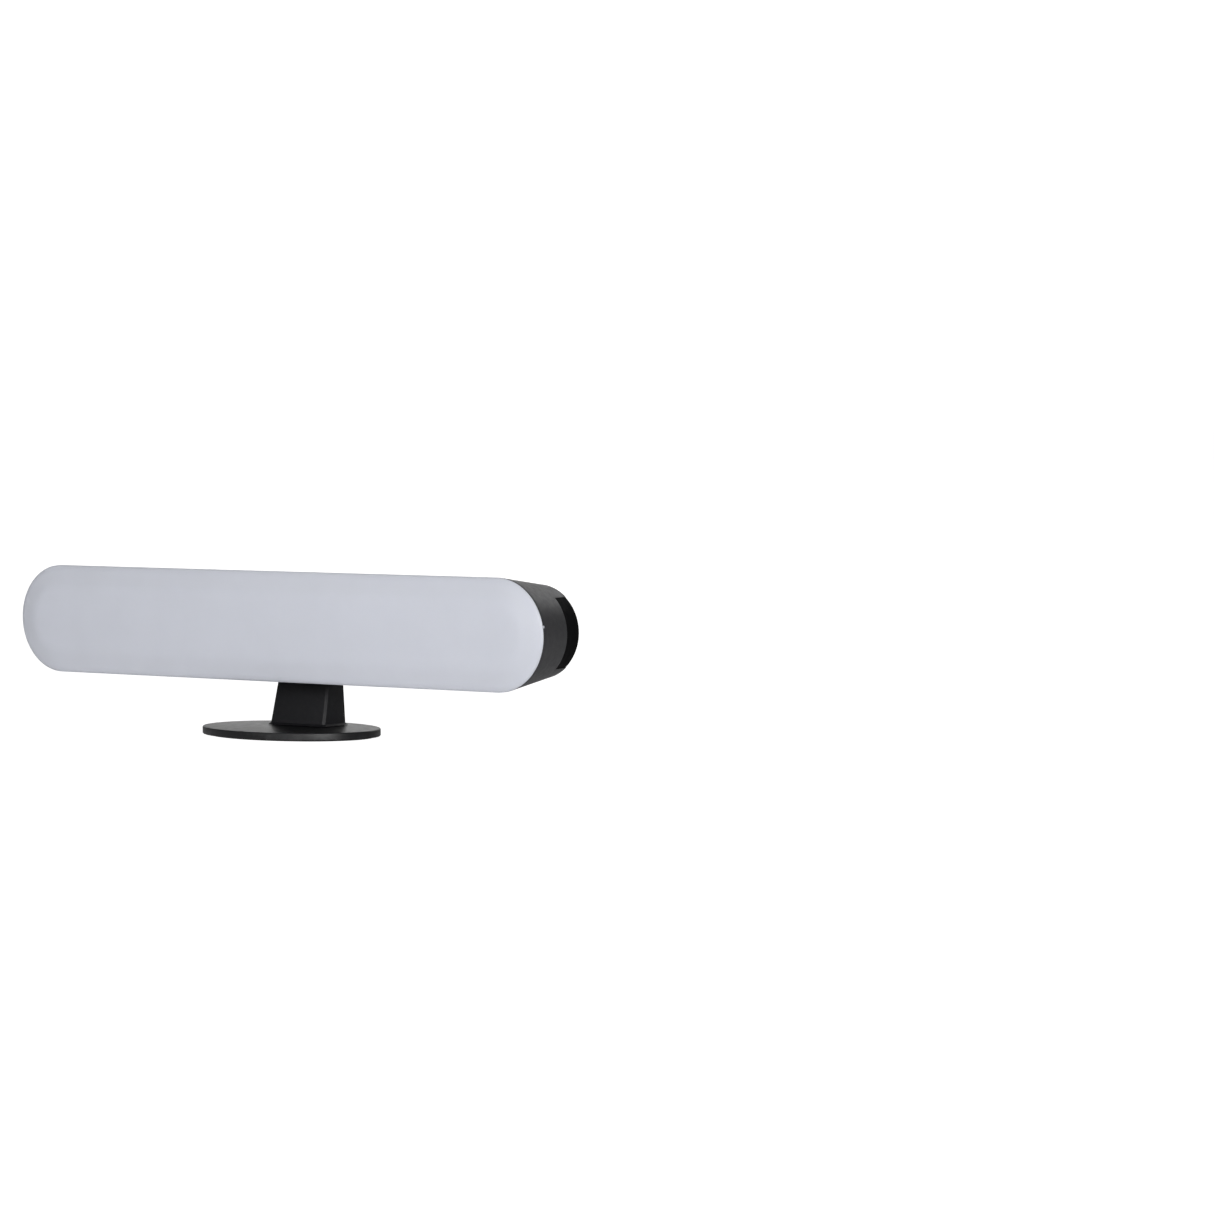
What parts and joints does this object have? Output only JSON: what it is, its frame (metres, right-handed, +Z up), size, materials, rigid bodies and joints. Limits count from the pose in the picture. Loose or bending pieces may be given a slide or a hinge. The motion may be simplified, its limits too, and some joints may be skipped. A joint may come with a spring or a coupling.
{
  "type": "light bar",
  "caption": "Short LED light bar with an opal stadium-shaped front, a tapered dark housing and a low plug-on stand with an oval base.",
  "frame": {"origin": "centre of the oval base, at the underside of its anti-slip pad", "axes": "+X along the bar towards the end where the rear cover wraps round the side, +Z up, the bar shines towards -Y"},
  "size_m": [0.3, 0.062, 0.0737],
  "materials": {
    "opal_plastic": "fine matt",
    "black_textured_plastic": "fine spark texture",
    "black_plastic": "plain moulded",
    "black_base_plastic": "satin",
    "white_reflector_plastic": "semi-gloss",
    "white_circuit_board": "white mask",
    "green_circuit_board": "green mask",
    "led_package": "resin",
    "shield_tin": "tin plated",
    "ferrite": "pressed ferrite",
    "capacitor_sleeve": "shrink sleeve",
    "white_nylon": "moulded",
    "black_nylon": "moulded",
    "plated_steel": "zinc plated",
    "foam_rubber": "closed-cell foam sheet",
    "red_insulation": "wire insulation",
    "black_insulation": "wire insulation",
    "white_insulation": "wire insulation"
  },
  "bodies": {
    "stand": {"stand_base": "black_base_plastic", "stand_column": "black_textured_plastic", "base_ballast": "plated_steel", "base_pad": "foam_rubber", "column_screw_1": "plated_steel", "column_screw_2": "plated_steel"},
    "head": {"control_board": "green_circuit_board", "control_board_screw_1": "plated_steel", "control_board_screw_2": "plated_steel", "cover_screw_1": "plated_steel", "cover_screw_2": "plated_steel", "cover_screw_3": "plated_steel", "cover_screw_4": "plated_steel", "diffuser": "opal_plastic", "housing": "black_textured_plastic", "led_01": "led_package", "led_02": "led_package", "led_03": "led_package", "led_04": "led_package", "led_05": "led_package", "led_06": "led_package", "led_07": "led_package", "led_08": "led_package", "led_09": "led_package", "led_10": "led_package", "led_11": "led_package", "led_12": "led_package", "led_board": "white_circuit_board", "led_board_connector": "white_nylon", "led_board_screw_1": "plated_steel", "led_board_screw_2": "plated_steel", "led_board_screw_3": "plated_steel", "led_lead_data": "white_insulation", "led_lead_ground": "black_insulation", "led_lead_plug": "white_nylon", "led_lead_supply": "red_insulation", "power_connector": "white_nylon", "power_inductor": "ferrite", "power_inlet": "black_nylon", "power_inlet_pin": "plated_steel", "power_lead_negative": "black_insulation", "power_lead_positive": "red_insulation", "radio_module": "shield_tin", "rear_cover": "black_plastic", "reflector_tray": "white_reflector_plastic", "storage_capacitor": "capacitor_sleeve", "tray_screw_1": "plated_steel", "tray_screw_2": "plated_steel"}
  },
  "joints": [
    {"name": "head_lift_off", "type": "slide", "parent": "stand", "child": "head", "axis": [0, 0, 1], "range_m": [0, 0.03]}
  ]
}
